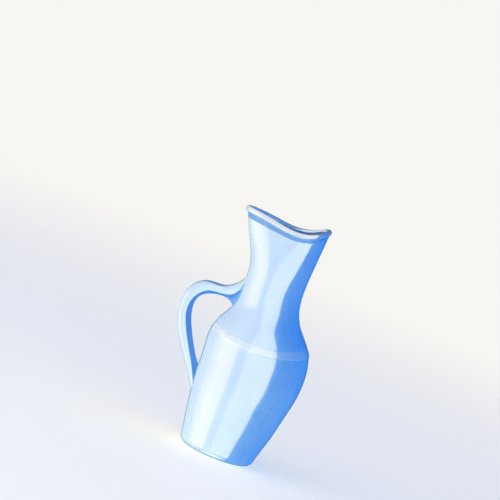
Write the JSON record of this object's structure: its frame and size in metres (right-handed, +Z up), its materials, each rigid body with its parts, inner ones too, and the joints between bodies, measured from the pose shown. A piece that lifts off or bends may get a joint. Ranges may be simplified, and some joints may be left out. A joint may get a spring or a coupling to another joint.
{
  "type": "urine bottle",
  "caption": "Female urine bottle: a wide body on a flat foot, a leaning neck with a saddle-shaped beaded mouth, and a looped side handle.",
  "frame": {"origin": "middle of the foot ring that the bottle stands on", "axes": "+Z up the bottle towards the mouth, -X towards the handle, +Y across the plane of symmetry"},
  "size_m": [0.1503, 0.108, 0.2617],
  "materials": {
    "bottle_plastic": "glossy milky pale-blue moulded plastic",
    "rim_plastic": "glossy pale-blue moulded plastic, polished by flame",
    "handle_plastic": "glossy pale-blue moulded plastic"
  },
  "bodies": {
    "root": {"reservoir_shell": "bottle_plastic", "neck_shell": "bottle_plastic", "shoulder_weld_band": "bottle_plastic", "mouth_rim": "rim_plastic", "handle": "handle_plastic"}
  },
  "joints": []
}
